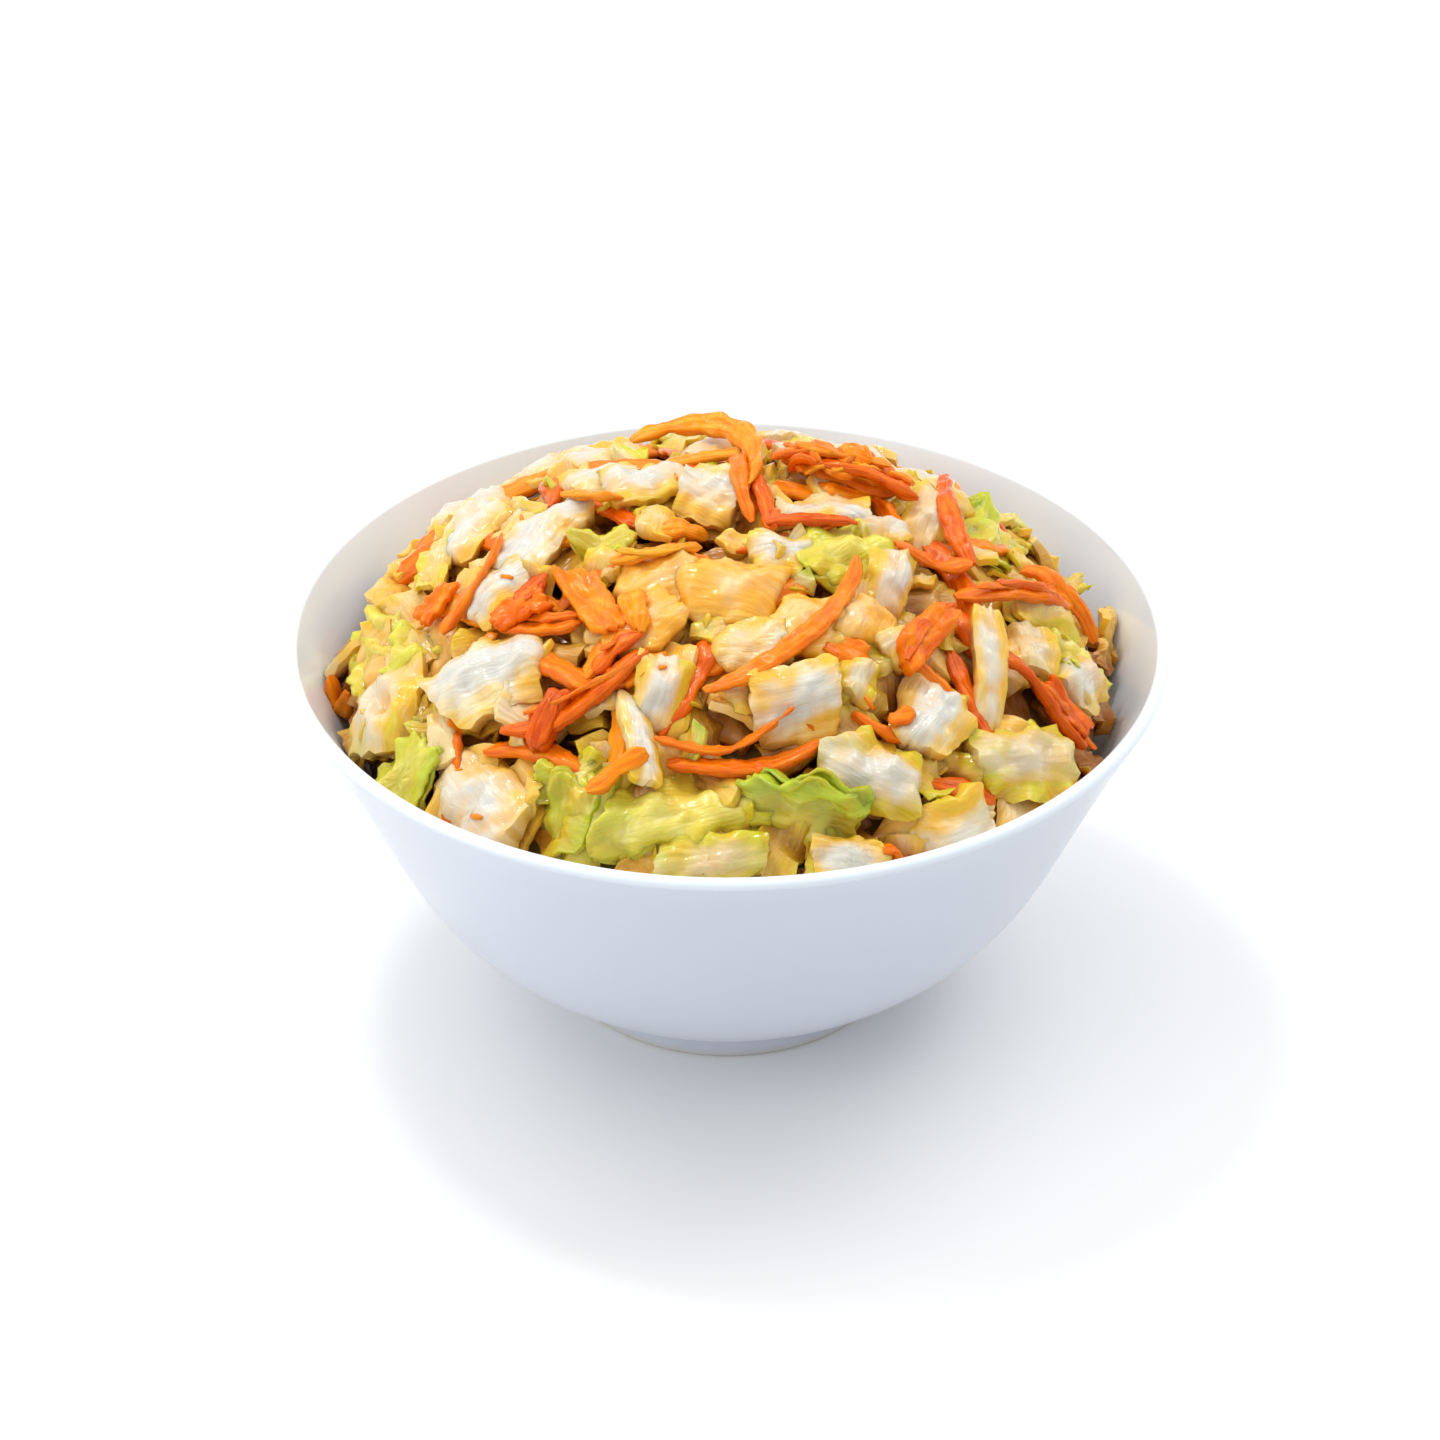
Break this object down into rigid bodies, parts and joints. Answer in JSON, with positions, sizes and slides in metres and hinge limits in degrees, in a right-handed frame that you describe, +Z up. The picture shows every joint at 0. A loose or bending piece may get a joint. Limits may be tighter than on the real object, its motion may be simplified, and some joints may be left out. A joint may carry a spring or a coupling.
{
  "type": "coleslaw in its bowl",
  "caption": "Heaped coleslaw of chopped cabbage, green leaf and shredded carrot in a round white bowl with a foot ring and a rounded rim.",
  "frame": {"origin": "centre of the underside of the foot ring", "axes": "+Z up, -Y towards the viewer of the picture, +X to the picture's right"},
  "size_m": [0.14, 0.14, 0.0919],
  "materials": {
    "bowl_glaze": "smooth cool white glaze, gently glossy, worn a little matt on the foot ring",
    "slaw": "moist dressed cabbage and carrot, soft, glossy where it is wet",
    "cabbage": "crisp wet white and cream cabbage, slightly see-through at its thin edges",
    "leaf": "yellow-green to bright green cabbage leaf, wet and glossy",
    "carrot": "bright orange shredded carrot, moist"
  },
  "bodies": {
    "root": {"bowl": "bowl_glaze", "slaw": "slaw"}
  },
  "joints": []
}
